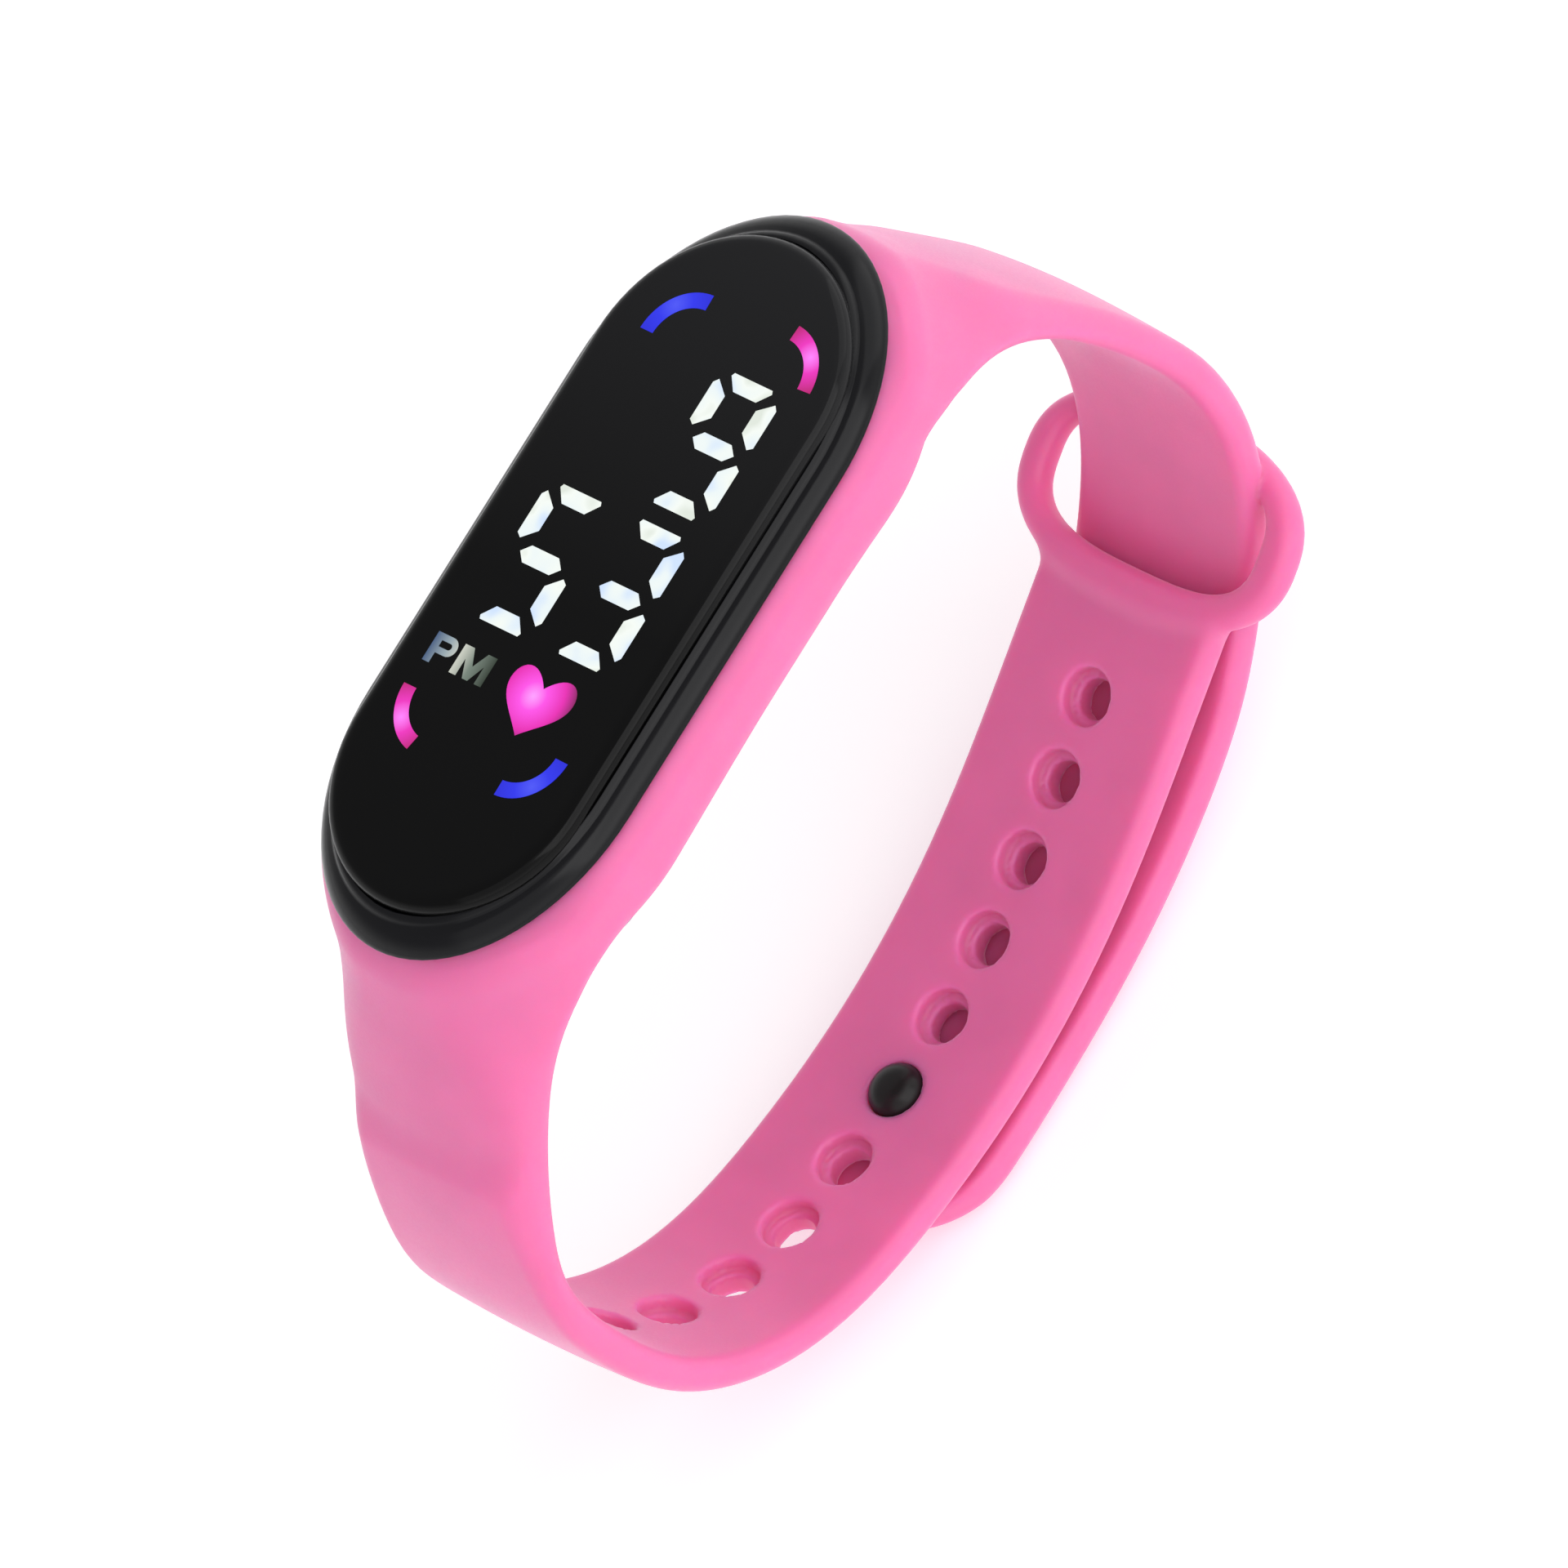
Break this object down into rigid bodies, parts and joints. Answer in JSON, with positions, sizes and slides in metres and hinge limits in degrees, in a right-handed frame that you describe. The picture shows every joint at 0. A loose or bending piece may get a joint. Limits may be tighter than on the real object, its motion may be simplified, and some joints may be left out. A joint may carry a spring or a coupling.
{
  "type": "fitness tracker band",
  "caption": "Wrist band with a slim capsule that shows lit digits behind a dark window, on a silicone strap closed by a stud and a keeper loop.",
  "frame": {"origin": "centre of the capsule's back face, which rests on the wrist", "axes": "+Z out of the display, +Y towards 12 o'clock, +X towards the display's right, along the wrist's axis"},
  "size_m": [0.022, 0.066, 0.0533],
  "materials": {
    "silicone": "soft matt",
    "case_black": "gloss",
    "lens_smoked": "polished",
    "stud_black": "gloss",
    "mask_black": "matt",
    "light_white": "lit",
    "light_grey": "lit",
    "light_heart": "lit",
    "light_blue": "lit",
    "light_magenta": "lit",
    "adhesive": "matt",
    "film_white": "satin",
    "board_green": "satin",
    "led_yellow": "satin",
    "chip_black": "matt",
    "crystal_metal": "satin",
    "spring_gold": "bright",
    "screw_steel": "bright",
    "holder_white": "satin",
    "cell_steel": "satin",
    "contact_nickel": "bright",
    "seal_grey": "matt",
    "cover_black": "satin"
  },
  "bodies": {
    "band": {"strap": "silicone"},
    "tail": {"strap_tail": "silicone", "stud_pin": "stud_black", "stud_head": "stud_black"},
    "capsule": {"front_lens": "lens_smoked", "lens_gasket": "adhesive", "upper_case": "case_black", "display_mask": "mask_black", "hour_digit": "light_white", "minute_digits": "light_white", "pm_icon": "light_grey", "heart_icon": "light_heart", "blue_arcs": "light_blue", "magenta_arcs": "light_magenta", "diffuser_film": "film_white", "main_board": "board_green", "led_chips": "led_yellow", "controller_chip": "chip_black", "quartz_crystal": "crystal_metal", "motion_sensor": "chip_black", "touch_spring": "spring_gold", "board_screws": "screw_steel", "battery_holder": "holder_white", "coin_cell": "cell_steel", "positive_clip": "contact_nickel", "negative_contact": "contact_nickel", "case_seal": "seal_grey", "rear_cover": "cover_black", "rear_screws": "screw_steel"}
  },
  "joints": [
    {"name": "capsule_release", "type": "slide", "parent": "band", "child": "capsule", "axis": [0, 0, 1], "range_m": [0, 0.012]},
    {"name": "tail_peel", "type": "hinge", "parent": "band", "child": "tail", "pos_m": [0, 0.00905, -0.0404], "axis": [1, 0, 0], "range_deg": [0, 60], "stiffness_Nm_per_rad": 0.0045}
  ]
}
